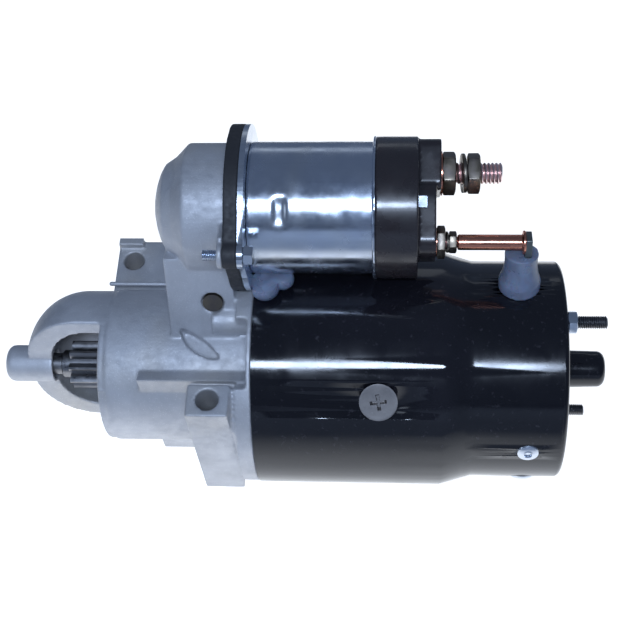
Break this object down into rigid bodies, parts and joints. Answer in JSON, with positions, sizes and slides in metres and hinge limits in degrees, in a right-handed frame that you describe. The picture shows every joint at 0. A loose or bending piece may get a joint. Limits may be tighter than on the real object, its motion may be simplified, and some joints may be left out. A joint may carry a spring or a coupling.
{
  "type": "starter motor",
  "caption": "Pre-engaged starter motor with a side-bolted cast nose, exposed pinion, shift lever neck and a solenoid riding on top of the field frame.",
  "frame": {"origin": "on the shaft axis at the middle of the pinion at rest", "axes": "+X along the shaft from the nose to the rear bearing, +Z from the shaft towards the solenoid, +Y by the right-hand rule, away from the flywheel"},
  "size_m": [0.3011, 0.1428, 0.1882],
  "materials": {
    "cast_aluminium": "sand-cast, bead-blasted",
    "black_paint": "gloss",
    "zinc_plate": "bright zinc",
    "dark_steel": "oiled steel",
    "yellow_zinc": "yellow zinc",
    "copper": "drawn copper",
    "tinned_strap": "tinned",
    "sintered_bronze": "oil-filled bronze",
    "black_phenolic": "moulded, polished",
    "black_rubber": "matte",
    "clear_rubber": "translucent",
    "nylon": "moulded",
    "brush_carbon": "pressed copper-carbon",
    "brush_frame": "zinc plated sheet"
  },
  "bodies": {
    "root": {"drive_housing": "cast_aluminium", "nose_bushing": "sintered_bronze", "field_frame": "black_paint", "pole_shoes": "dark_steel", "pole_shoe_screws": "zinc_plate", "field_coils": "copper", "end_frame": "black_paint", "rear_bushing": "sintered_bronze", "through_studs": "dark_steel", "through_stud_nuts": "zinc_plate", "brush_holder": "brush_frame", "brush_holder_screws": "zinc_plate", "brush_springs": "dark_steel", "lever_pivot_pin": "yellow_zinc", "flange_gasket": "black_rubber", "solenoid_flange": "zinc_plate", "solenoid_screws": "zinc_plate", "solenoid_case": "zinc_plate", "solenoid_bobbin": "nylon", "solenoid_winding": "copper", "solenoid_core": "dark_steel", "plunger_return_spring": "dark_steel", "solenoid_cap": "black_phenolic", "contact_spring": "dark_steel", "switch_terminal": "zinc_plate", "battery_stud": "copper", "battery_washer": "copper", "battery_base_nut": "yellow_zinc", "battery_lock_washer": "yellow_zinc", "battery_nut": "yellow_zinc", "motor_stud": "copper", "motor_washer": "copper", "motor_base_nut": "yellow_zinc", "motor_lock_washer": "yellow_zinc", "motor_nut": "yellow_zinc", "motor_connector": "copper", "field_terminal": "tinned_strap", "terminal_boot": "clear_rubber", "joint_sealant": "clear_rubber"},
    "armature": {"armature_shaft": "dark_steel", "armature_core": "dark_steel", "armature_windings": "copper", "commutator": "copper", "thrust_washer": "dark_steel", "pinion_stop": "dark_steel"},
    "drive": {"clutch_shell": "dark_steel", "clutch_rollers": "dark_steel", "drive_sleeve": "dark_steel", "drive_spring": "dark_steel", "shift_collar": "nylon"},
    "pinion": {"drive_pinion": "dark_steel"},
    "lever": {"shift_lever": "dark_steel"},
    "plunger": {"plunger": "dark_steel", "plunger_link_pin": "dark_steel"},
    "contact": {"contact_rod": "dark_steel", "contact_disc": "copper"},
    "brush_1": {"brush_1": "brush_carbon"},
    "brush_2": {"brush_2": "brush_carbon"},
    "brush_3": {"brush_3": "brush_carbon"},
    "brush_4": {"brush_4": "brush_carbon"}
  },
  "joints": [
    {"name": "armature_spin", "type": "hinge", "parent": "root", "child": "armature", "pos_m": [0, 0, 0], "axis": [1, 0, 0], "continuous": true},
    {"name": "drive_slide", "type": "slide", "parent": "armature", "child": "drive", "axis": [-1, 0, 0], "range_m": [0, 0.0085]},
    {"name": "pinion_overrun", "type": "hinge", "parent": "drive", "child": "pinion", "pos_m": [0, 0, 0], "axis": [1, 0, 0], "continuous": true},
    {"name": "plunger_slide", "type": "slide", "parent": "root", "child": "plunger", "axis": [1, 0, 0], "range_m": [0, 0.00646], "stiffness_N_per_m": 1500, "springref_m": -0.012, "deforming": ["plunger_return_spring"]},
    {"name": "lever_pivot", "type": "hinge", "parent": "root", "child": "lever", "pos_m": [0.0676, 0, 0.052], "axis": [0, 1, 0], "range_deg": [0, 9.38]},
    {"name": "contact_slide", "type": "slide", "parent": "root", "child": "contact", "axis": [1, 0, 0], "range_m": [0, 0.002], "deforming": ["contact_spring"]},
    {"name": "brush_slide_1", "type": "slide", "parent": "root", "child": "brush_1", "axis": [0, -0.9397, 0.342], "range_m": [0, 0.003], "stiffness_N_per_m": 400, "springref_m": -0.01, "deforming": ["brush_springs"]},
    {"name": "brush_slide_2", "type": "slide", "parent": "root", "child": "brush_2", "axis": [0, -0.342, -0.9397], "range_m": [0, 0.003], "stiffness_N_per_m": 400, "springref_m": -0.01, "deforming": ["brush_springs"]},
    {"name": "brush_slide_3", "type": "slide", "parent": "root", "child": "brush_3", "axis": [0, 0.9397, -0.342], "range_m": [0, 0.003], "stiffness_N_per_m": 400, "springref_m": -0.01, "deforming": ["brush_springs"]},
    {"name": "brush_slide_4", "type": "slide", "parent": "root", "child": "brush_4", "axis": [0, 0.342, 0.9397], "range_m": [0, 0.003], "stiffness_N_per_m": 400, "springref_m": -0.01, "deforming": ["brush_springs"]}
  ],
  "couplings": [
    {"joint": "drive_slide", "follows": "plunger_slide", "ratio": 1.3165},
    {"joint": "lever_pivot", "follows": "plunger_slide", "rad_per_m": 25.345},
    {"joint": "contact_slide", "follows": "plunger_slide", "ratio": 0.30975}
  ]
}
